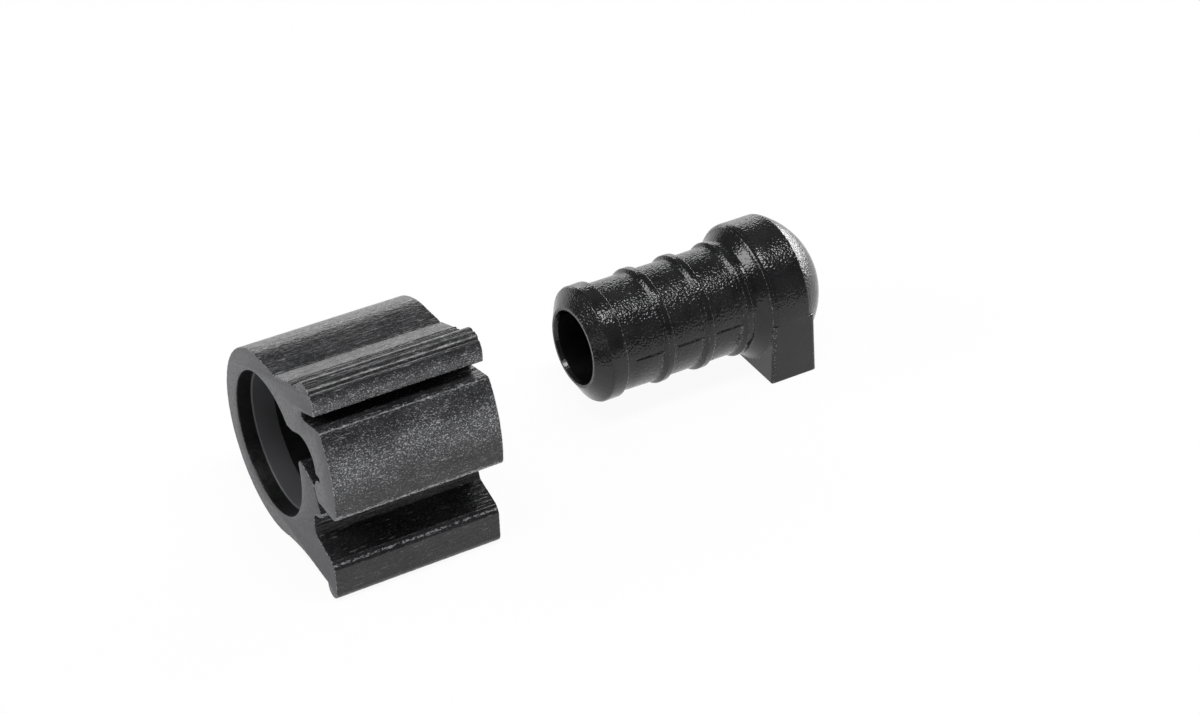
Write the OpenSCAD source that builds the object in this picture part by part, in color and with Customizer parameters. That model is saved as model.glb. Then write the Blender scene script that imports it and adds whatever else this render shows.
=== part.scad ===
// Ribbed end plug for soft small-bore water pipe, with its one-piece snap clip.
// The plug stands on its foot and the clip lies beside the mouth on the same surface,
// with the bore of the clip level with the spigot that it will squeeze the pipe onto.
// Origin: centre of the sole of the foot. +X runs from the mouth to the domed head, +Z is up.

/* [Pipe] */
// Inside diameter of the pipe
pipe_bore = 13; // [12.5:0.1:15]
// Wall thickness of the pipe
pipe_wall = 1.2; // [1:0.1:1.8]

/* [Spigot] */
// How much wider the ribs are than the inside of the pipe
rib_grip = 0.5; // [0.2:0.1:1]
// How much narrower the barrel is than the inside of the pipe
barrel_play = 0.4; // [0.2:0.1:0.7]
// Diameter of the bore
mouth_bore = 8.4; // [7.5:0.1:9]
// Depth of the bore
bore_depth = 22.5; // [12:0.5:26]
// Roundness of the lip round the mouth
lip_round = 0.15; // [0.1:0.01:0.25]
// Flare of the bore at the mouth
mouth_flare = 0.2; // [0.1:0.05:0.3]
// Length of the tapered nose
nose_taper = 1.45; // [1.2:0.05:2.4]
// Length of the first crest, behind the nose
nose_land = 1.8; // [1:0.1:3]
// Number of ribs behind the nose
rib_count = 3; // [1:1:4]
// Length of the crest of a rib
rib_land = 0.8; // [0.5:0.1:1.5]
// Length of the ramp in front of a rib
rib_ramp = 0.35; // [0.2:0.05:1]
// Softness of the edges of the ribs and the nose
edge_soft = 0.1; // [0.05:0.01:0.15]
// Bare barrel in front of each rib
barrel_gap = 4.4; // [3:0.1:6]
// Bare barrel between the last rib and the shoulder
stop_gap = 1.1; // [0.8:0.1:3]

/* [Head] */
// Length of the shoulder that the end of the pipe stops against
shoulder_len = 1.2; // [0.8:0.1:2]
// Height of the soft corner at the foot of the shoulder
shoulder_soft = 0.2; // [0.1:0.05:0.3]
// Roundness of the front edge of the head
head_round = 1; // [0.5:0.1:1.4]
// How much wider the head is than the pipe all round
head_lip = 0.4; // [0.2:0.1:1]
// Length of the straight part of the head
head_len = 4.9; // [4:0.1:8]
// Height of the domed end
dome_h = 4.95; // [2:0.05:6]
// Length of the sole of the foot
foot_len = 6; // [5:0.1:8]
// How far the back of the foot leans in on its way up
foot_lean = 0.6; // [0:0.05:0.8]
// Depth of the sole below the axis of the pipe
foot_drop = 7.85; // [7.4:0.05:9]
// How far the foot is set back from the front of the head
foot_setback = 0.3; // [0.2:0.1:1]
// Roundness of the upright edges of the foot
foot_round = 0.4; // [0.2:0.1:0.8]

/* [Clip ring] */
// Length of the clip along the pipe
clip_len = 19; // [14:0.5:24]
// Play between the grip bands and the pipe, on the diameter
clip_play = 0.1; // [0.05:0.05:0.4]
// Height of the grip bands above the bore of the clip
band_h = 0.25; // [0.1:0.05:0.4]
// Width of a grip band
band_w = 2.5; // [2:0.1:4]
// Distance of a grip band from the end of the clip
band_inset = 1.7; // [1.5:0.1:4]
// Wall of the ring
ring_wall = 2.5; // [2:0.1:3]

/* [Clip jaws] */
// Thickness of the tongue on the lower jaw
tongue_t = 2.7; // [2.3:0.1:3]
// Roundness of the tip of the tongue
tongue_round = 0.62; // [0.4:0.02:0.8]
// How far the barb stands out from the tongue
barb_h = 1.8; // [1.2:0.1:2]
// Depth of the tip of the barb below the centre of the bore
barb_drop = 0.95; // [0.6:0.05:1.4]
// Depth of the undercut below the tip of the barb
barb_under = 1.05; // [0.8:0.05:1.4]
// Slit between the tongue and the tooth of the upper jaw
latch_gap = 0.12; // [0.08:0.02:0.3]
// Thickness of the upper jaw outside the barb
flap_t = 3.8; // [3:0.1:4.5]
// Distance of the centre of that jaw's outer curve from the centre of the bore
flap_mid = 3; // [2.8:0.1:3.2]
// Height of the centre of that curve above the centre of the bore
flap_rise = 2; // [1.8:0.1:2.2]
// Height of the edge of the upper jaw above the centre of the bore
flap_edge = 0.5; // [0.3:0.1:1]
// Roundness of the outer corner of that edge
flap_round = 0.9; // [0.5:0.1:1.2]
// Radius of the pocket that the tongue slides into
pocket_r = 2.8; // [2.4:0.1:3]
// Depth of the top of the pocket below the top of the bore
pocket_drop = 1.3; // [1:0.1:1.6]
// Distance of the pocket from the line of the barb
pocket_wall = 0.6; // [0.5:0.1:0.8]
// Room above the tongue for closing the clip
travel = 3.6; // [3:0.1:4]
// Fall of the top of the tongue to the start of its ramp
tongue_fall = 0.85; // [0.6:0.05:1]
// Side of the relief notch above the tooth
relief = 0.6; // [0.4:0.1:0.8]
// Radius of the ridge along the top
ridge_r = 2; // [1.6:0.1:2.3]
// Height of the centre of the ridge above the ring
ridge_lift = 1.5; // [1.3:0.05:1.7]
// Distance from the centre of the bore to the foot of the ramp behind the ridge
ramp_at = 3; // [2.5:0.1:3.5]
// Distance from the centre of the bore to the step in that ramp
step_at = 6.4; // [5.8:0.1:6.8]
// Height of the step
step_h = 0.2; // [0.1:0.05:0.3]
// Width of the fine grooves that the die leaves along the ridge and the ramp
line_w = 0.44; // [0.3:0.02:0.5]
// Depth of those grooves
line_depth = 0.15; // [0.05:0.01:0.18]
// Width of the slot under the ridge, at its inner end
slot_w = 0.9; // [0.6:0.1:1.1]
// How far the slot reaches in from the line of the barb
slot_in = 2.75; // [2:0.05:3]
// Depth of the inner end of the slot below the top of the ring
slot_drop = 0.72; // [0.5:0.02:0.9]
// Rise of the floor of the slot to the flap
slot_rise = 0.3; // [0.1:0.05:0.5]
// How far the top of the flap reaches out past the line of the barb
flap_shelf = 0.8; // [0.5:0.1:1]
// Distance of the centre of the ridge in from the line of the barb
ridge_in = 2.1; // [1.8:0.1:2.3]
// Reach of the lower lug beyond the tongue
lug_reach = 4.5; // [3.5:0.1:5.5]
// Depth of the top of the lower lug below the centre of the bore
lug_drop = 4.7; // [4.2:0.1:5.2]
// Fall of the top of the lower lug to its outer end
lug_fall = 1.05; // [0.6:0.05:1.4]
// Depth of the recess under the lower lug
under_recess = 1.15; // [0.6:0.05:1.5]
// Radius of the rib that the lower lug rests on
heel_r = 1.1; // [0.8:0.1:1.2]
// Size of the small bevels that stand for the soft corners of the jaws
soft = 0.2; // [0.15:0.01:0.25]

/* [Place] */
// Free length between the clip and the mouth of the plug
spacing = 18.85; // [5:0.05:40]
// How far the axis of the clip lies in front of the axis of the plug
side_step = 2.25; // [0:0.05:6]

/* [Hidden] */
$fn = 96;
plastic = [0.1, 0.1, 0.11];
// How far a cutting shape reaches past what it cuts
over = 1.2;

// Plug, with s measured from the mouth along the axis
rib_r = (pipe_bore + rib_grip) / 2;
barrel_r = (pipe_bore - barrel_play) / 2;
mouth_r = mouth_bore / 2;
lip_r = mouth_r + mouth_flare;
pipe_od = pipe_bore + 2 * pipe_wall;
head_r = pipe_od / 2 + head_lip;
nose_end = nose_taper + nose_land;
rib_pitch = barrel_gap + rib_land;
shoulder_s = nose_end + rib_count * rib_pitch + stop_gap;
head_s = shoulder_s + shoulder_len;
foot_s = head_s + foot_setback;
dome_r = (head_r * head_r + dome_h * dome_h) / (2 * dome_h);
dome_s = head_s + head_len + dome_h - dome_r;
mouth_x = -foot_s - foot_len / 2;

// Clip, seen from the mouth of the plug outwards: first coordinate towards the jaws, second upwards
band_r = (pipe_od + clip_play) / 2;
ring_in = band_r + band_h;
ring_out = ring_in + ring_wall;
tongue_out = ring_in + tongue_t;
barb_tip = tongue_out + barb_h;
flap_out = barb_tip + flap_t;
lug_end = tongue_out + lug_reach;
pocket_top = ring_in - pocket_drop;
pocket_c = [barb_tip - pocket_wall - pocket_r, pocket_top - pocket_r];
tongue_top = pocket_top - travel;
relief_x = barb_tip + 0.4 * relief;
ramp_top = [tongue_out + soft, tongue_top - tongue_fall];
ramp_end = [barb_tip, -barb_drop];
flap_c = [flap_mid, flap_rise];
flap_r = flap_out - flap_c[0];
ridge_c = [barb_tip - ridge_in, ring_out + ridge_lift];
ramp_end_c = ridge_c + [-0.75, 0.3] * ridge_r;
line_lift = line_w / 2 - line_depth;
step_top = [step_at + step_h / 2, ring_out + ridge_lift + step_h / 2];
ramp_foot = [ramp_at, ring_out + 0.75 * soft];
slot_c = [barb_tip - slot_in, ring_out - slot_drop];
slot_lip = [barb_tip + flap_shelf, slot_c[1] + slot_rise];
lug_under = ring_out - under_recess;
clip_x = mouth_x - spacing - clip_len;

// Half section of the plug without its bore: radius, then distance from the mouth
module spigot_section() {
    translate([lip_r + lip_round, lip_round]) circle(r = lip_round);
    polygon([
        [0, lip_round], [lip_r + lip_round, 0], [lip_r + 2 * lip_round, 0.2 * lip_round],
        [rib_r - 1.5 * edge_soft, nose_taper - 2.5 * edge_soft], [rib_r, nose_taper],
        [rib_r, nose_end - edge_soft], [rib_r - edge_soft, nose_end], [barrel_r, nose_end],
        [barrel_r, shoulder_s], [barrel_r + shoulder_soft, shoulder_s + 2.25 * shoulder_soft],
        [head_r - 0.68 * head_round, head_s + 0.04 * head_round],
        [head_r - head_round, head_s + head_round], [0, head_s + head_round]
    ]);
    translate([head_r - head_round, head_s + head_round]) circle(r = head_round);
    for (i = [1 : rib_count]) translate([0, nose_end + i * rib_pitch - rib_land])
        polygon([
            [0, -rib_ramp], [barrel_r, -rib_ramp], [rib_r - edge_soft, -0.8 * edge_soft], [rib_r, 0],
            [rib_r, rib_land - edge_soft], [rib_r - edge_soft, rib_land], [0, rib_land]
        ]);
}

// Cylindrical head with a domed end
module head() {
    intersection() {
        cylinder(r = head_r, h = dome_s + dome_r + over);
        translate([0, 0, dome_s]) sphere(r = dome_r);
        translate([0, 0, head_s + head_round]) cylinder(r = 2 * head_r, h = 2 * dome_r);
    }
}

// Rectangle with round corners, centred, made of exact arcs
module round_rect(size, r) {
    square([size[0] - 2 * r, size[1]], center = true);
    square([size[0], size[1] - 2 * r], center = true);
    for (i = [-1, 1], j = [-1, 1])
        translate([i * (size[0] / 2 - r), j * (size[1] / 2 - r)]) circle(r = r);
}

// Square block from the sole up to the height of the axis, its back leaning in
module foot() {
    intersection() {
        linear_extrude(height = foot_drop) round_rect([foot_len, 2 * head_r], foot_round);
        rotate([90, 0, 0]) linear_extrude(height = 4 * head_r, center = true)
            polygon([
                [-foot_len / 2, 0], [foot_len / 2, 0],
                [foot_len / 2 - foot_lean, foot_drop], [-foot_len / 2, foot_drop]
            ]);
    }
}

module ribbed_plug() {
    color(plastic) difference() {
        union() {
            translate([mouth_x, 0, foot_drop]) rotate([0, 90, 0]) {
                rotate_extrude() spigot_section();
                head();
            }
            foot();
        }
        translate([mouth_x, 0, foot_drop]) rotate([0, 90, 0]) {
            translate([0, 0, -over]) cylinder(r = mouth_r, h = bore_depth + over);
            translate([0, 0, -mouth_flare / 4])
                cylinder(r1 = lip_r + mouth_flare / 4, r2 = mouth_r, h = 2.5 * mouth_flare);
        }
        translate([0, 0, -head_r]) cube([4 * foot_len, 4 * head_r, 2 * head_r], center = true);
    }
}

// Fine grooves that the die leaves along the ridge and the ramp
module die_lines() {
    for (a = [53, 87, 129])
        translate(ridge_c + (ridge_r + line_lift) * [cos(a), sin(a)]) circle(d = line_w);
    for (k = [0.18, 0.42, 0.82])
        translate(step_top + k * (ramp_end_c - step_top) + [0, line_lift]) circle(d = line_w);
    translate(ramp_foot + [soft / 2, line_lift]) circle(d = line_w);
}

// Upper jaw: flat top rising to the ridge, slot under the ridge, curved flap outside the pocket
module upper_jaw() {
    difference() {
        union() {
            polygon([
                [0, 0], [slot_c[0] + slot_w / 3, 0], slot_lip + [-1, 4 / 3] * slot_w,
                [ridge_c[0] + ridge_r, ridge_c[1] - step_h], ridge_c, ridge_c + [-0.4, 0.9] * ridge_r,
                ramp_end_c, step_top, step_top - [step_h, step_h],
                ramp_foot, [0, ring_out]
            ]);
            translate(ridge_c) circle(r = ridge_r);
            intersection() {
                translate(flap_c) circle(r = flap_r);
                polygon([
                    [ring_in, flap_edge], [flap_out - flap_round, flap_edge],
                    [flap_out - flap_round, flap_edge + flap_round],
                    [flap_out + over, flap_edge + flap_round],
                    [flap_out + over, slot_lip[1]], slot_lip, slot_c, [ring_in - over, slot_c[1]]
                ]);
            }
            translate([flap_out - flap_round, flap_edge + flap_round]) circle(r = flap_round);
        }
        die_lines();
        translate(slot_c) circle(d = slot_w);
        polygon([
            slot_c + [0.11, -0.49] * slot_w, slot_lip, slot_lip + [over, slot_rise],
            slot_lip + [over, 2.4 * slot_w], slot_lip + [-1, 1.39] * slot_w,
            slot_c + [-0.17, 0.48] * slot_w
        ]);
    }
}

// Space above the tongue, between the bore and the flap
module pocket() {
    translate(pocket_c) circle(r = pocket_r);
    polygon([
        [0, 0], [ring_in, 0], ramp_top + [latch_gap, 0], [relief_x - relief, pocket_c[1] - relief],
        [relief_x, pocket_c[1] - relief], [relief_x, pocket_c[1]],
        [relief_x - relief, pocket_c[1] + relief / 12], pocket_c, pocket_c + [-0.27, 0.96] * pocket_r,
        [0.8 * ring_in, pocket_top - 0.27 * pocket_r], [0.7 * ring_in, 0.74 * ring_in]
    ]);
}

// Slit that parts the tooth of the flap from the ramp of the tongue
module latch_slit() {
    polygon([
        [ring_in, -barb_drop], ramp_end + [latch_gap, 0],
        ramp_top + [latch_gap, 1.5 * soft], [ring_in, tongue_top]
    ]);
}

// Lower jaw: barbed tongue beside the bore, lug below it for the pliers
module lower_jaw() {
    translate([ring_in + 1.5 * soft, tongue_top - tongue_round]) circle(r = tongue_round);
    polygon([
        [0, 0], [0.42 * ring_in, -ring_out + 3 * soft], [0.78 * ring_in, -lug_under],
        [lug_end - 2 * heel_r, -lug_under], [lug_end - 2 * heel_r, -ring_out + heel_r],
        [lug_end, -ring_out + heel_r], [lug_end - soft, -lug_drop - lug_fall - 3.5 * soft],
        [lug_end - 4 * soft, -lug_drop - lug_fall], [tongue_out + 1.5 * soft, -lug_drop],
        [tongue_out - soft / 4, -lug_drop + 4 * soft],
        [tongue_out - soft / 4, ramp_end[1] - barb_under - 2.5 * soft],
        [tongue_out + soft, ramp_end[1] - barb_under], ramp_end - [0.75, 2.5] * soft,
        ramp_end, ramp_top, [ring_in + 2 * soft, tongue_top - soft / 10],
        [ring_in - soft, tongue_top - tongue_round]
    ]);
    translate([lug_end - heel_r, -ring_out + heel_r]) circle(r = heel_r);
}

module clip_section() {
    difference() {
        union() {
            difference() {
                union() {
                    circle(r = ring_out);
                    upper_jaw();
                }
                pocket();
                latch_slit();
            }
            lower_jaw();
        }
        circle(r = band_r);
    }
}

module snap_clip() {
    wide = [[-over, band_inset + over], [band_inset + band_w, clip_len - 2 * (band_inset + band_w)],
            [clip_len - band_inset, band_inset + over]];
    color(plastic) translate([clip_x + clip_len, -side_step, ring_out]) rotate([90, 0, -90])
        difference() {
            linear_extrude(height = clip_len) clip_section();
            for (w = wide) translate([0, 0, w[0]]) cylinder(r = ring_in, h = w[1]);
        }
}

ribbed_plug();
snap_clip();
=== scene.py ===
import bpy
import numpy as np
from mathutils import Matrix, Vector


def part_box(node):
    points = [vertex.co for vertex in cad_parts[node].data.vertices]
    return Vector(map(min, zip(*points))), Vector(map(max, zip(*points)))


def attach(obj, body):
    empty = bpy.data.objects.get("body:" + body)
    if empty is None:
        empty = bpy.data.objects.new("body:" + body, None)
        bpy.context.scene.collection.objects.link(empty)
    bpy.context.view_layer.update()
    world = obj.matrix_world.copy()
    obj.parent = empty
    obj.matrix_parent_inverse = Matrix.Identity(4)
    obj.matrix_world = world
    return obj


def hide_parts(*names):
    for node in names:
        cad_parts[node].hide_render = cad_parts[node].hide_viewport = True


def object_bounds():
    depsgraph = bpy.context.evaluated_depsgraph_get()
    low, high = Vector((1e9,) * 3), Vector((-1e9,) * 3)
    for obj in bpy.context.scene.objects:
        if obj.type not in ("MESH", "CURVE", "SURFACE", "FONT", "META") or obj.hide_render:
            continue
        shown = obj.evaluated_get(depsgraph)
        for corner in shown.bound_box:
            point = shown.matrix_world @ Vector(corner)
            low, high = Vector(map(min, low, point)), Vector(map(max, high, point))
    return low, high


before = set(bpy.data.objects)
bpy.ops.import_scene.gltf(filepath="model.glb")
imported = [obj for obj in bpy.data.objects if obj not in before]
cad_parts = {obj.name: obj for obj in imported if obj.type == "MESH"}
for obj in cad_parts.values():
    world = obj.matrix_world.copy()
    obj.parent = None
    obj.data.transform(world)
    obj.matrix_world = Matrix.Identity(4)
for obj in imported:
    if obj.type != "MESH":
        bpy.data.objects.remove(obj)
cad_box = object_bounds()
scene = bpy.context.scene
scene.view_settings.view_transform = "Standard"

# --- The photographer's place -------------------------------------------------
# The camera stands in front of the clip, to the left of the plug and above both,
# and looks down at 35 degrees through a long lens.
MM = 0.001
camera_data = bpy.data.cameras.new("photo_camera")
camera_data.lens = 81
camera_data.sensor_width = 36
camera_data.clip_start, camera_data.clip_end = 0.01, 20
camera = bpy.data.objects.new("photo_camera", camera_data)
look_right = Vector((0.8625, -0.506, 0)).normalized()
look_up = Vector((0.2928, 0.4991, 0.8155)).normalized()
look_back = look_right.cross(look_up)
left_of_clip, in_front, above_table = 83.55 * MM, 212.85 * MM, 180.45 * MM
camera.matrix_world = (
    Matrix.Translation(Vector((cad_box[0].x - left_of_clip, -in_front, above_table)))
    @ Matrix((look_right, look_up, look_back)).transposed().to_4x4()
)
scene.collection.objects.link(camera)
scene.camera = camera

# --- The table and the light ---------------------------------------------------
# A plain white table top. A narrow softbox overhead draws the light along the barrel,
# one on the left lights the shoulder, and low ones behind and on the right give the
# pale grazing light on the clip's top and in the plug's mouth.
floor_data = bpy.data.meshes.new("table_top")
floor_half = 9.0
floor_data.from_pydata(
    [(-floor_half, -floor_half, 0), (floor_half, -floor_half, 0), (floor_half, floor_half, 0),
     (-floor_half, floor_half, 0)], [], [(0, 1, 2, 3)])
table_top = bpy.data.objects.new("table_top", floor_data)
table_top.location.z = -0.02 * MM
scene.collection.objects.link(table_top)


def add_node(where, kind, fed=(), **settings):
    """A node with its settings, its inputs given as values or as other nodes' outputs."""
    made = where.nodes.new(kind)
    for key, value in settings.items():
        setattr(made, key, value)
    for key, value in dict(fed).items():
        if isinstance(value, bpy.types.NodeSocket):
            where.links.new(value, made.inputs[key])
        else:
            made.inputs[key].default_value = value
    return made


def combine(where, kind, a, b):
    """Two values through one arithmetic node."""
    return add_node(where, "ShaderNodeMath", {0: a, 1: b}, operation=kind).outputs[0]


table_white = bpy.data.materials.new("table_white")
table_white.use_nodes = True
table_nodes = table_white.node_tree
table_nodes.nodes.clear()
board = add_node(table_nodes, "ShaderNodeBsdfDiffuse", {"Color": (0.86, 0.86, 0.86, 1)})
glow = add_node(table_nodes, "ShaderNodeEmission", {"Color": (1, 1, 1, 1)})
ray = add_node(table_nodes, "ShaderNodeLightPath").outputs
mirrored = combine(table_nodes, "MAXIMUM", ray["Is Glossy Ray"], ray["Is Transmission Ray"])
shown_white = combine(table_nodes, "MAXIMUM", mirrored, ray["Is Camera Ray"])
white_share = 0.94
table_blend = add_node(table_nodes, "ShaderNodeMixShader", {
    0: combine(table_nodes, "MULTIPLY", shown_white, white_share), 1: board.outputs[0], 2: glow.outputs[0]})
add_node(table_nodes, "ShaderNodeOutputMaterial", {"Surface": table_blend.outputs[0]})
floor_data.materials.append(table_white)

room = bpy.data.worlds.new("studio_room")
room.use_nodes = True
room.node_tree.nodes["Background"].inputs["Color"].default_value = (0.93, 0.94, 0.96, 1)
room.node_tree.nodes["Background"].inputs["Strength"].default_value = 0.18
scene.world = room

aim = (Vector(cad_box[0]) + Vector(cad_box[1])) / 2
for lamp_name, direction, distance, width, height, radiance in (
    ("back_softbox", (0.42, 0.89, 0.12), 1.0, 1.3, 0.22, 2.5),
    ("left_softbox", (-0.80, 0.28, 0.50), 0.8, 0.36, 0.26, 8.0),
    ("right_softbox", (0.95, 0.25, 0.12), 0.8, 0.6, 0.30, 9.5),
    ("top_softbox", (0.0, -0.20, 0.98), 0.75, 0.70, 0.16, 13.0),
):
    lamp_data = bpy.data.lights.new(lamp_name, "AREA")
    lamp_data.shape = "RECTANGLE"
    lamp_data.size, lamp_data.size_y = width, height
    lamp_data.energy = radiance * np.pi * width * height
    lamp = bpy.data.objects.new(lamp_name, lamp_data)
    lamp.location = aim + Vector(direction).normalized() * distance
    lamp.rotation_mode = "QUATERNION"
    lamp.rotation_quaternion = Vector(direction).to_track_quat("Z", "Y")
    scene.collection.objects.link(lamp)

# --- Skin of the black plastic --------------------------------------------------
# Both pieces are black plastic. Moulded or extruded, it has a fine grain, a patchy sheen,
# pale burrs and painted highlights where an edge is worn, pale flecks, haze and painted
# sparkle where it is scuffed and, on the clip, short pale scratches. Sizes are in millimetres.
skin = bpy.data.node_groups.new("plastic_skin", "ShaderNodeTree")
for label, kind, start in (
    ("Point", "NodeSocketVector", None), ("Edge", "NodeSocketFloat", 0.0), ("Scuff And Sparkle", "NodeSocketFloat", 0.0),
    ("Base", "NodeSocketColor", (0.03, 0.03, 0.03, 1)), ("Pale", "NodeSocketColor", (0.3, 0.3, 0.3, 1)),
    ("Grain Size", "NodeSocketFloat", 4.0), ("Speckle", "NodeSocketFloat", 0.2),
    ("Sheen Low", "NodeSocketFloat", 0.3), ("Sheen High", "NodeSocketFloat", 0.5),
    ("Wear And Highlight", "NodeSocketFloat", 0.5), ("Streaks", "NodeSocketFloat", 0.0),
):
    socket = skin.interface.new_socket(name=label, in_out="INPUT", socket_type=kind)
    if start is not None:
        socket.default_value = start
for label, kind in (
    ("Color", "NodeSocketColor"), ("Roughness", "NodeSocketFloat"), ("Height", "NodeSocketFloat"),
):
    skin.interface.new_socket(name=label, in_out="OUTPUT", socket_type=kind)


given = add_node(skin, "NodeGroupInput").outputs


def remap(where, value, low, high, out_low, out_high):
    """value from low..high stretched to out_low..out_high, eased and clamped."""
    return add_node(where, "ShaderNodeMapRange", {
        "Value": value, "From Min": low, "From Max": high, "To Min": out_low, "To Max": out_high,
    }, interpolation_type="SMOOTHSTEP").outputs["Result"]


def skin_noise(at, scale, detail, roughness=0.5):
    """Noise over the skin, as a value about 0.5."""
    return add_node(skin, "ShaderNodeTexNoise", {
        "Vector": at, "Scale": scale, "Detail": detail, "Roughness": roughness}).outputs["Fac"]


def drawn_along(share):
    """The skin's points with the noise drawn out along the piece."""
    return add_node(skin, "ShaderNodeVectorMath", {0: given["Point"], 1: (share, 1, 1)},
                    operation="MULTIPLY").outputs[0]


grain = skin_noise(given["Point"], given["Grain Size"], 0.0)
patches = skin_noise(given["Point"], 0.35, 4.0)
streaks = skin_noise(drawn_along(0.02), 3.0, 3.0, 0.7)

# Pale flecks are scuffing and, where the scuff share is high, also painted glints.
flecks_and_glints = skin_noise(given["Point"], combine(skin, "MULTIPLY", given["Grain Size"], 2.6), 2.0, 0.8)
crowded = combine(skin, "ADD", flecks_and_glints, combine(skin, "MULTIPLY", given["Scuff And Sparkle"], 0.06))
fleck_and_glint_mask = combine(skin, "MULTIPLY", remap(skin, crowded, 0.61, 0.67, 0.0, 1.0),
                     remap(skin, patches, 0.35, 0.6, 0.5, 1.0))
fleck_and_glint_mask = combine(skin, "MULTIPLY", fleck_and_glint_mask, remap(skin, given["Scuff And Sparkle"], 0.0, 0.5, 0.25, 1.0))
scratches = skin_noise(drawn_along(0.22), 4.6, 2.0, 0.6)
scratch_mask = combine(skin, "MULTIPLY", remap(skin, scratches, 0.64, 0.72, 0.0, 1.0), given["Streaks"])
fleck_and_glint_mask = combine(skin, "ADD", fleck_and_glint_mask, scratch_mask)
fleck_and_glint_mask = combine(skin, "MULTIPLY", fleck_and_glint_mask, given["Speckle"])

# The pale chips along edges are wear and painted edge highlights together.
edge_dashes = skin_noise(given["Point"], 4.5, 3.0, 0.7)
edge_dash_share = combine(skin, "ADD", edge_dashes, combine(skin, "MULTIPLY", given["Edge"], 0.3))
worn_and_highlit = combine(skin, "MULTIPLY", remap(skin, edge_dash_share, 0.62, 0.70, 0.0, 1.0),
               remap(skin, given["Edge"], 0.02, 0.3, 0.0, 1.0))
worn_and_highlit = combine(skin, "MULTIPLY", worn_and_highlit, given["Wear And Highlight"])
pale_mask = combine(skin, "MAXIMUM", worn_and_highlit, fleck_and_glint_mask)

# The haze on scuffed faces is partly scuffing and partly a painted sheen of light.
rubbed_and_sparkle = combine(skin, "MULTIPLY", given["Scuff And Sparkle"], given["Speckle"])
haze_and_sparkle = combine(skin, "ADD", remap(skin, patches, 0.3, 0.7, 0.0, 0.02),
               combine(skin, "MULTIPLY", rubbed_and_sparkle, remap(skin, patches, 0.3, 0.7, 0.05, 0.11)))

# Inputs 0, 6 and 7 of a colour mix are its share and its two colours, output 2 the result.
hazed_and_sparkled = add_node(skin, "ShaderNodeMix", {0: haze_and_sparkle, 6: given["Base"], 7: given["Pale"]}, data_type="RGBA")
paled = add_node(skin, "ShaderNodeMix", {0: pale_mask, 6: hazed_and_sparkled.outputs[2], 7: given["Pale"]}, data_type="RGBA")
sheen = add_node(skin, "ShaderNodeMapRange", {
    "Value": grain, "From Min": 0.3, "From Max": 0.7,
    "To Min": given["Sheen Low"], "To Max": given["Sheen High"]})
grain_depth = combine(skin, "ADD", combine(skin, "MULTIPLY", given["Scuff And Sparkle"], 0.75), 0.25)
relief = combine(skin, "ADD", combine(skin, "MULTIPLY", grain, grain_depth),
                 combine(skin, "MULTIPLY", streaks, given["Streaks"]))
add_node(skin, "NodeGroupOutput", {
    "Color": paled.outputs[2], "Roughness": sheen.outputs["Result"], "Height": relief})


def plastic(name, base, pale, grain_size, speckle, sheen_low, sheen_high, wear_and_highlight, streaks, bump,
            stretch=(1, 1, 1)):
    """A material whose skin follows the object in millimetres, with its texture stretched by axis."""
    made = bpy.data.materials.new(name)
    made.use_nodes = True
    nodes = made.node_tree
    shader = nodes.nodes["Principled BSDF"]
    place = add_node(nodes, "ShaderNodeTexCoord")
    scaled = add_node(nodes, "ShaderNodeMapping", {
        "Vector": place.outputs["Object"], "Scale": [1 / MM * k for k in stretch]})
    edge = add_node(nodes, "ShaderNodeAttribute", attribute_name="edge_wear_and_highlight")
    scuff_and_sparkle = add_node(nodes, "ShaderNodeAttribute", attribute_name="scuff_and_sparkle")
    surface = nodes.nodes.new("ShaderNodeGroup")
    surface.node_tree = skin
    nodes.links.new(scaled.outputs[0], surface.inputs["Point"])
    nodes.links.new(edge.outputs["Fac"], surface.inputs["Edge"])
    nodes.links.new(scuff_and_sparkle.outputs["Fac"], surface.inputs["Scuff And Sparkle"])
    for key, value in (
        ("Base", (*base, 1)), ("Pale", (*pale, 1)), ("Grain Size", grain_size), ("Speckle", speckle),
        ("Sheen Low", sheen_low), ("Sheen High", sheen_high), ("Wear And Highlight", wear_and_highlight), ("Streaks", streaks),
    ):
        surface.inputs[key].default_value = value
    raised = add_node(nodes, "ShaderNodeBump", {
        "Strength": 1.0, "Distance": bump * MM, "Height": surface.outputs["Height"]})
    nodes.links.new(surface.outputs["Color"], shader.inputs["Base Color"])
    nodes.links.new(surface.outputs["Roughness"], shader.inputs["Roughness"])
    nodes.links.new(raised.outputs["Normal"], shader.inputs["Normal"])
    shader.inputs["IOR"].default_value = 1.47
    return made


def build_piece(name, points, faces, materials, slots, wear_and_highlight, scuff_and_sparkle):
    """A smooth mesh object from points in millimetres, with each point's wear and painted edge highlight, and
    its scuffing and painted sparkle.
    """
    data = bpy.data.meshes.new(name)
    data.from_pydata((np.asarray(points) * MM).tolist(), [], faces)
    for material in materials:
        data.materials.append(material)
    data.polygons.foreach_set("material_index", slots)
    data.attributes.new("edge_wear_and_highlight", "FLOAT", "POINT").data.foreach_set("value", np.clip(wear_and_highlight, 0, 1))
    data.attributes.new("scuff_and_sparkle", "FLOAT", "POINT").data.foreach_set("value", np.clip(scuff_and_sparkle, 0, 1))
    data.shade_smooth()
    data.validate()
    piece = bpy.data.objects.new(name, data)
    scene.collection.objects.link(piece)
    return piece


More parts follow.
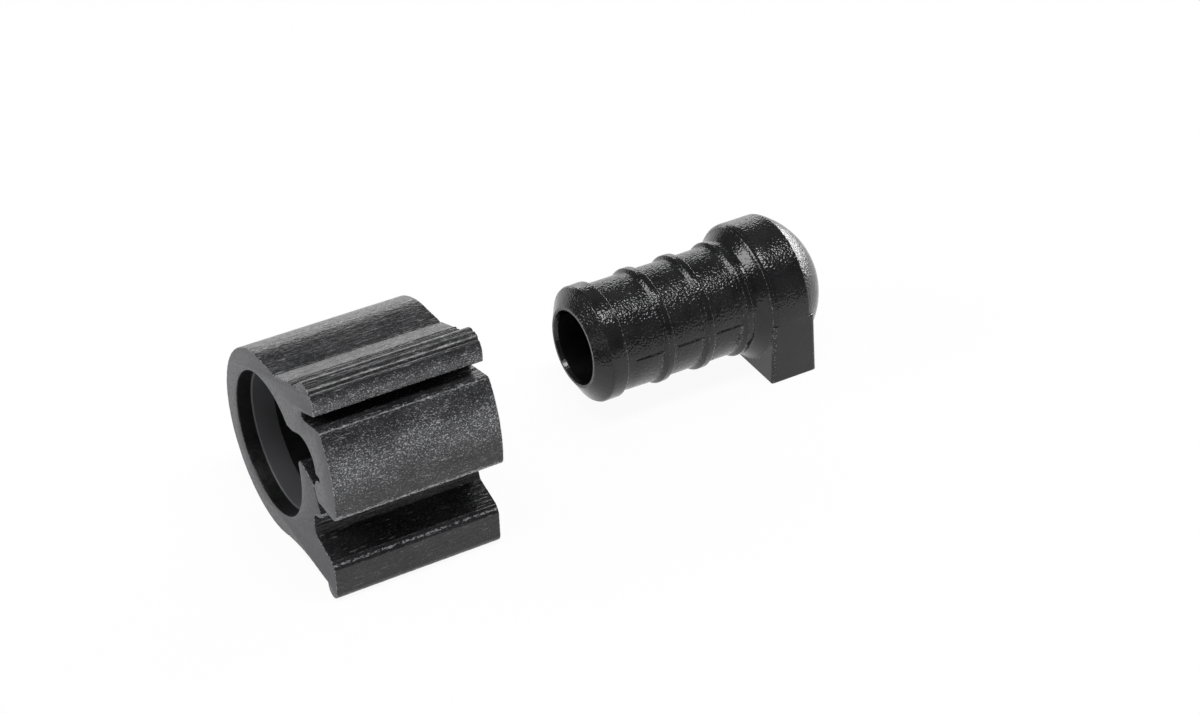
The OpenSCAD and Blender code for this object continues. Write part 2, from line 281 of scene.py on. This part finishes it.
# --- The ribbed plug -------------------------------------------------------------
# One injection moulding: a hollow ribbed spigot, a round domed head and a square foot.
# The two halves of the mould meet a little above the axis, where the lower half stands
# a hair proud between the ribs. Sizes along the axis count from the mouth.
spigot_low, spigot_high = (np.array(corner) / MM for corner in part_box("ribbed_plug"))
head_radius = 8.1
axis_height = spigot_high[2] - head_radius
rib_radius, barrel_radius, bore_radius = 6.75, 6.3, 4.2
bore_depth = 22.5
rib_fronts = (8.45, 13.65, 18.85)
shoulder_start, head_start, head_straight_end = 19.95, 21.15, 26.05
head_edge_radius, dome_rim = 7.81, 7.5
dome_radius, dome_centre = 9.102, 21.898
foot_front, foot_back, foot_lean = 21.45, 27.45, 0.6


def eased_path(corners, step):
    """Points along a path of (along, radius, fillet) corners, each corner rounded by its fillet."""
    path = [np.array(corners[0][:2], float)]
    for previous, corner, following in zip(corners, corners[1:], corners[2:]):
        p, q, r = (np.array(c[:2], float) for c in (previous, corner, following))
        reach_in, reach_out = np.linalg.norm(p - q), np.linalg.norm(r - q)
        way_in, way_out = (p - q) / reach_in, (r - q) / reach_out
        half = np.arccos(np.clip(way_in @ way_out, -1, 1)) / 2
        cut = min(corner[2] / np.tan(half), 0.48 * reach_in, 0.48 * reach_out)
        start, end = q + way_in * cut, q + way_out * cut
        path.append(start)
        pieces = 4 if corner[2] < 0.3 else 8
        for k in range(1, pieces):
            u = k / pieces
            path.append((1 - u) ** 2 * start + 2 * u * (1 - u) * q + u * u * end)
        path.append(end)
    path.append(np.array(corners[-1][:2], float))
    filled = [path[0]]
    for p, q in zip(path, path[1:]):
        pieces = max(1, int(np.ceil(np.linalg.norm(q - p) / step)))
        filled += [p + (q - p) * k / pieces for k in range(1, pieces + 1)]
    return np.array(filled)


spigot_corners = [
    (bore_depth, 0.05, 0), (bore_depth, bore_radius, 0.5), (0.5, bore_radius, 0.3),
    (0.0, 4.38, 0.05), (0.0, 4.7, 0.08),
    (1.22, 6.62, 0.08), (1.45, rib_radius, 0.1), (3.25, rib_radius, 0.14), (3.27, barrel_radius, 0.1)]
for front in rib_fronts:
    spigot_corners += [(front - 0.35, barrel_radius, 0.12), (front, rib_radius, 0.16),
                       (front + 0.8, rib_radius, 0.14), (front + 0.82, barrel_radius, 0.1)]
spigot_corners += [(shoulder_start + 0.28, barrel_radius, 0.75),
                   (head_start + 0.04, head_radius - 0.68, 0.12), (head_start + 0.3, head_edge_radius, 0.1)]
spigot = eased_path(spigot_corners, 0.42)

# Angles round the axis run from the top. Extra ones follow the parting line and the
# foot's two long edges.
parting_height = 0.4
parting_angle = np.arccos(parting_height / barrel_radius)
foot_corner = np.pi - np.arctan(head_radius / axis_height)
extra = [parting_angle + k for k in (-0.022, -0.012, 0.004)] + [np.pi / 2 + k for k in (-0.003, 0.006)]
extra += [foot_corner + k for k in (-0.014, -0.007, 0, 0.007, 0.014)]
angles = np.unique(np.round(np.concatenate([
    np.radians(np.arange(0, 360, 1.5)), extra, [2 * np.pi - k for k in extra]]), 5))
side = np.minimum(angles, 2 * np.pi - angles)
on_foot = side > np.pi / 2 + 0.001

foot_reach = np.minimum(head_radius / np.maximum(np.abs(np.sin(side)), 1e-6),
                        axis_height / np.maximum(np.abs(np.cos(side)), 1e-6))
foot_reach -= 0.05 * np.exp(-((side - foot_corner) / 0.006) ** 2)
edge_round = np.where(side < foot_corner, 0.4, 0.12)

dome_join = np.sqrt(dome_radius ** 2 - dome_rim ** 2) + dome_centre
head_top = eased_path([
    (foot_front, head_edge_radius, 0), (21.75, 8.02, 0.3), (22.15, head_radius, 0.3),
    (head_straight_end, head_radius, 0.25), (26.6, head_edge_radius, 0.3), (dome_join, dome_rim, 0)], 0.1)
travelled = np.concatenate([[0], np.cumsum(np.linalg.norm(np.diff(head_top, axis=0), axis=1))])
head_rows = 84
stops = np.linspace(0, travelled[-1], head_rows)
head_top = np.stack([np.interp(stops, travelled, head_top[:, k]) for k in (0, 1)], axis=1)


def foot_path(reach, fillet, back_at):
    """Front plane, flank and back plane of the foot along one ray from the axis."""
    front = [(foot_front, r) for r in np.linspace(head_edge_radius, reach - fillet, 10)]
    turns = np.linspace(0, np.pi / 2, 8)
    front += [(foot_front + fillet * (1 - np.cos(k)), reach - fillet * (1 - np.sin(k))) for k in turns[1:]]
    back = [(back_at - fillet * (1 - np.sin(k)), reach - fillet * (1 - np.cos(k))) for k in turns]
    back += [(back_at + (dome_join - back_at) * k, (reach - fillet) + (dome_rim - reach + fillet) * k)
             for k in np.linspace(0, 1, 12)[1:]]
    flank = np.linspace(foot_front + fillet, back_at - fillet, head_rows - len(front) - len(back) + 2)[1:-1]
    return np.array(front + [(s, reach) for s in flank] + back)


head_grid = np.zeros((head_rows, len(angles), 2))
for column, angle in enumerate(side):
    if on_foot[column]:
        height = axis_height + foot_reach[column] * np.cos(angle)
        back_at = foot_back - foot_lean * height / axis_height
        head_grid[:, column] = foot_path(foot_reach[column], edge_round[column], back_at)
    else:
        head_grid[:, column] = head_top
dome_turn = np.linspace(np.arcsin(dome_rim / dome_radius), 0.004, 34)[1:]
dome = np.stack([dome_centre + dome_radius * np.cos(dome_turn), dome_radius * np.sin(dome_turn)], axis=1)

rows = np.concatenate([
    np.repeat(spigot[:-1, None], len(angles), 1), head_grid, np.repeat(dome[:, None], len(angles), 1)])
along, radius = rows[..., 0].copy(), rows[..., 1].copy()
outside = (np.arange(len(rows)) > np.argmin(spigot[:, 0]))[:, None]
head_below = on_foot[None] & (along > foot_front - 0.05)

bare_bays = ((4.5, 8.02), (9.65, 13.22), (14.85, 18.42))
lower_half_proud, parting_depth, parting_width = 0.07, 0.1, 0.009
past_parting = side[None] - parting_angle + 0.012
for start, end in bare_bays:
    inside_bay = np.clip(np.minimum(along - start, end - along) / 0.06, 0, 1) * outside
    radius += lower_half_proud * inside_bay * np.clip(past_parting / 0.012, 0, 1)
    radius -= parting_depth * inside_bay * np.exp(-(past_parting / parting_width) ** 2)
swell = (np.sin(along * 1.7 + 2.1 * np.sin(side * 3)) + np.sin(along * 0.9 + side * 5 + 1.3)) * 0.008
radius += swell * outside * (radius > 1) * ~head_below

x = spigot_low[0] + along
y = radius * np.sin(angles)[None]
z = axis_height + radius * np.cos(angles)[None]
z = np.maximum(z, np.where(on_foot[None] & (along > foot_front - 0.01) & (along < foot_back), 0.0, 0.02))
plug_points = np.clip(np.stack([x, y, z], axis=2), spigot_low, spigot_high)
row_count, column_count = radius.shape

# Edges are worn where the surface turns from row to row, most of all round the mouth; the pale wear also paints
# the edges' highlights, and round the mouth it paints the rim's bright reflection.
turned = np.zeros(radius.shape)
step_one = plug_points[1:-1] - plug_points[:-2]
step_two = plug_points[2:] - plug_points[1:-1]
lengths = np.linalg.norm(step_one, axis=2) * np.linalg.norm(step_two, axis=2)
cosine = (step_one * step_two).sum(2) / np.maximum(lengths, 1e-9)
turned[1:-1] = np.clip(np.arccos(np.clip(cosine, -1, 1)) / 0.35, 0, 1)
turned *= np.where((along < 0.3) & outside, 1.0, 0.4)

# The mould's grain is coarse on the barrel and fine on the nose, shoulder, crests and foot.
mould_grain = outside * np.interp(
    along, (1.3, 1.8, 3.2, 3.6, 19.7, 20.1, 21.6, 22.2), (0.3, 0.4, 0.4, 1, 1, 0.1, 0.1, 0.6))
for front in rib_fronts:
    mould_grain *= 1 - 0.7 * ((along > front - 0.4) & (along < front + 0.9))
mould_grain *= np.interp(side, (1.1, 1.5), (1, 0.75))[None]
mould_grain *= np.where(head_below & (radius > 7.6), 0.4, 1.0)

plug_faces = []
for row in range(row_count - 1):
    for column in range(column_count):
        other = (column + 1) % column_count
        plug_faces.append((row * column_count + column, (row + 1) * column_count + column,
                           (row + 1) * column_count + other, row * column_count + other))
plug_faces.append(tuple(range(column_count)))
plug_faces.append(tuple((row_count - 1) * column_count + k for k in reversed(range(column_count))))

plug_black = plastic(
    "plug_black", base=(0.004, 0.004, 0.0045), pale=(0.34, 0.34, 0.35), grain_size=4.3, speckle=0.05,
    sheen_low=0.1, sheen_high=0.22, wear_and_highlight=0.5, streaks=0, bump=0.085)
ribbed_plug = build_piece("moulded_plug", plug_points.reshape(-1, 3), plug_faces, [plug_black],
                          [0] * len(plug_faces), turned.reshape(-1), mould_grain.reshape(-1))
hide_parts("ribbed_plug")
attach(ribbed_plug, "root")

# --- The snap clip ------------------------------------------------------------------
# Cut from an extruded bar, so one section runs the whole length and its flanks carry the
# die's fine lines. The sawn ends are dull and paler. Two bands stand up inside the bore; they
# take the sawn ends' paler colour as a painted lit band, and the rest of the bore a darker
# copy of the plastic as painted shade.
clip_low, clip_high = (np.array(corner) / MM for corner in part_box("snap_clip"))
clip_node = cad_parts["snap_clip"].data
corner_points = np.array([v.co for v in clip_node.vertices]) / MM
welded = np.round(corner_points, 4)
end_faces = [[tuple(welded[k, 1:]) for k in face.vertices] for face in clip_node.polygons
             if np.abs(corner_points[list(face.vertices), 0] - clip_low[0]).max() < 1e-3]
sides = {(a, b) for face in end_faces for a, b in zip(face, face[1:] + face[:1])}
next_of = {a: b for a, b in sides if (b, a) not in sides}
first = min(next_of)
outline = [first]
while next_of[outline[-1]] != first:
    outline.append(next_of[outline[-1]])
outline = np.array(outline)

# The outline's facets become curves again, apart from at its true corners.
way = np.roll(outline, -1, 0) - outline
length = np.linalg.norm(way, axis=1)
way /= length[:, None]
way_before, length_before = np.roll(way, 1, 0), np.roll(length, 1)
bend = np.arccos(np.clip((way * way_before).sum(1), -1, 1))
tangent = way * length_before[:, None] + way_before * length[:, None]
tangent /= np.linalg.norm(tangent, axis=1)[:, None]
smooth = (bend < 0.3) & (length / length_before < 3) & (length_before / length < 3)
leave = np.where(smooth[:, None], tangent, way)
arrive = np.where(smooth[:, None], tangent, way_before)
spacing = 0.09
fine = []
for k in range(len(outline)):
    following = (k + 1) % len(outline)
    p, q = outline[k], outline[following]
    pieces = max(1, int(round(length[k] / spacing)))
    for j in range(pieces):
        u = j / pieces
        fine.append((2 * u ** 3 - 3 * u ** 2 + 1) * p + (u ** 3 - 2 * u ** 2 + u) * leave[k] * length[k]
                    + (-2 * u ** 3 + 3 * u ** 2) * q + (u ** 3 - u ** 2) * arrive[following] * length[k])


def smoothed(values, times):
    """Values round a closed loop, each mixed with its two neighbours the given number of times."""
    for _ in range(times):
        values = values / 2 + (np.roll(values, 1, 0) + np.roll(values, -1, 0)) / 4
    return values


section = smoothed(np.array(fine), 1)
run = np.roll(section, -1, 0) - np.roll(section, 1, 0)
run /= np.maximum(np.linalg.norm(run, axis=1), 1e-9)[:, None]
ahead_of = np.roll(section, -1, 0)
area = np.sum(section[:, 0] * ahead_of[:, 1] - ahead_of[:, 0] * section[:, 1]) / 2
turning = 1 if area > 0 else -1
outward = turning * np.stack([run[:, 1], -run[:, 0]], axis=1)

# The two strips on the ridge are slightly round, as (middle, half width) in degrees.
ridge_centre, ridge_radius, strip_bulge = np.array([-12.65, 22.5]), 2, 0.05
from_ridge = section - ridge_centre
round_ridge = np.degrees(np.arctan2(-from_ridge[:, 0], from_ridge[:, 1]))
on_ridge = np.abs(np.linalg.norm(from_ridge, axis=1) - ridge_radius) < 0.2
for middle, half in ((-18, 21), (20, 17)):
    bulge = np.clip(1 - ((round_ridge - middle) / half) ** 2, 0, 1) * on_ridge
    section = section + outward * (strip_bulge * bulge)[:, None]

# Sharp outer corners of the jaws are worn, the pale wear also painting their edge highlights, and the faces
# turned to the front are scuffed, the pale scuffing also painting their sparkle.
depth, level = section[:, 0], section[:, 1]
behind, ahead = np.roll(run, 7, 0), np.roll(run, -7, 0)
turn = np.arctan2(behind[:, 0] * ahead[:, 1] - behind[:, 1] * ahead[:, 0], (behind * ahead).sum(1))
corner_wear_and_highlight = 0.62 * np.clip((turn * turning - 0.85) / 0.4, 0, 1) * (level < 20.8) * (depth < -14.2)
corner_wear_and_highlight *= np.where(level > 17.5, 0.45, 1.0)
front_scuff_and_sparkle = np.clip((-outward[:, 0] - 0.7) / 0.25, 0, 1) * (
    np.exp(-((level - 17.2) / 2.8) ** 2) + 0.8 * np.exp(-((level - 22.2) / 1.2) ** 2)
    + 0.15 * (level > 10.8))

# The die leaves fine lines, deeper on the ramp and the ridge, and a broad unevenness.
draws = np.random.default_rng(11)
count = len(section)
lines = smoothed(draws.standard_normal(count), 2)
broad = smoothed(draws.standard_normal(count), 120)
broad /= np.abs(broad).max()
on_top = np.clip((level - 19.0) / 0.6, 0, 1) * np.clip((-5.5 - depth) / 1.5, 0, 1)
die_lines = (0.006 + 0.014 * on_top) * lines + 0.012 * broad

bore_centre = np.array([-2.25, 10.5])
ring_in, band_radius = 8.0, 7.75
to_bore = np.linalg.norm(section - bore_centre, axis=1)
on_bore = np.abs(to_bore - ring_in) < 0.06
for _ in range(2):
    on_bore = on_bore & np.roll(on_bore, 1) & np.roll(on_bore, -1)
bore_share = smoothed(on_bore.astype(float), 3)
inward = (bore_centre - section) / to_bore[:, None]

clip_length = clip_high[0] - clip_low[0]
bands = ((1.7, 4.2), (clip_length - 4.2, clip_length - 1.7))
stations = {0.0, 0.03, 0.09, 0.2, clip_length, clip_length - 0.03, clip_length - 0.09, clip_length - 0.2}
for edge in bands[0] + bands[1]:
    stations |= {edge - 0.08, edge - 0.03, edge + 0.03, edge + 0.08}
stations |= set(np.arange(0.8, clip_length - 0.5, 0.75))
stations = np.array(sorted(stations))
end_nick = np.minimum(smoothed(0.03 + 0.03 * np.abs(draws.standard_normal(count)), 1), 0.1)
clip_rings, clip_wear_and_highlight = [], []
for station in stations:
    from_end = min(station, clip_length - station)
    raised = sum(np.clip((station - start + 0.03) / 0.06, 0, 1) * np.clip((end + 0.03 - station) / 0.06, 0, 1)
                 for start, end in bands)
    shrink = np.interp(from_end, [0, 0.03, 0.09], [1.0, 0.35, 0.0])
    ring = section + outward * (die_lines - shrink * end_nick)[:, None]
    ring = ring + inward * (bore_share * raised * (ring_in - band_radius))[:, None]
    clip_rings.append(np.column_stack([np.full(count, clip_low[0] + station), ring]))
    # The bands also get faint pale chips, painted light like their colour.
    band_painted_light = 0.1 * bore_share * raised
    clip_wear_and_highlight.append(np.maximum(np.maximum(corner_wear_and_highlight, band_painted_light), 0.4 if from_end < 0.06 else 0.0))
clip_points = np.clip(np.array(clip_rings), clip_low, clip_high)

# Slot 1 is the sawn ends and, as painted light, the bands inside the bore; slot 2 is the bore wall, darker as
# painted shade.
FLANK, SAWN_AND_LIT_BAND, SHADED_BORE = 0, 1, 2
clip_faces, clip_slots = [], []
for row in range(len(stations) - 1):
    in_band = any(start < stations[row] + 0.05 < end for start, end in bands)
    for column in range(count):
        other = (column + 1) % count
        quad = (row * count + column, row * count + other,
                (row + 1) * count + other, (row + 1) * count + column)
        clip_faces.append(quad[::turning])
        clip_slots.append(FLANK if bore_share[column] < 0.3 else SAWN_AND_LIT_BAND if in_band else SHADED_BORE)
near_end = tuple(range(count))
far_end = tuple((len(stations) - 1) * count + k for k in range(count))
clip_faces += [near_end[::-turning], far_end[::turning]]
clip_slots += [SAWN_AND_LIT_BAND, SAWN_AND_LIT_BAND]

clip_flank = plastic(
    "clip_flank", base=(0.012, 0.012, 0.013), pale=(0.55, 0.55, 0.57), grain_size=3.2, speckle=0.9,
    sheen_low=0.14, sheen_high=0.34, wear_and_highlight=0.6, streaks=0.35, bump=0.13, stretch=(0.6, 1, 1))
# The sawn-end material also paints the lit bands inside the bore.
clip_sawn_and_lit_band = plastic(
    "clip_sawn_end_and_painted_lit_band", base=(0.075, 0.075, 0.08), pale=(0.2, 0.2, 0.21), grain_size=5.0, speckle=0.05,
    sheen_low=0.45, sheen_high=0.6, wear_and_highlight=0.2, streaks=0, bump=0.02)
# The bore's darker copy of the plastic is painted shade.
clip_bore_painted_shade = plastic(
    "clip_bore_painted_shade", base=(0.006, 0.006, 0.0065), pale=(0.16, 0.16, 0.165), grain_size=3.0, speckle=0.05,
    sheen_low=0.3, sheen_high=0.5, wear_and_highlight=0.5, streaks=0.2, bump=0.04)
snap_clip = build_piece("extruded_clip", clip_points.reshape(-1, 3), clip_faces,
                        [clip_flank, clip_sawn_and_lit_band, clip_bore_painted_shade], clip_slots,
                        np.array(clip_wear_and_highlight).reshape(-1), np.tile(front_scuff_and_sparkle, len(stations)))
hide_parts("snap_clip")
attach(snap_clip, "root")
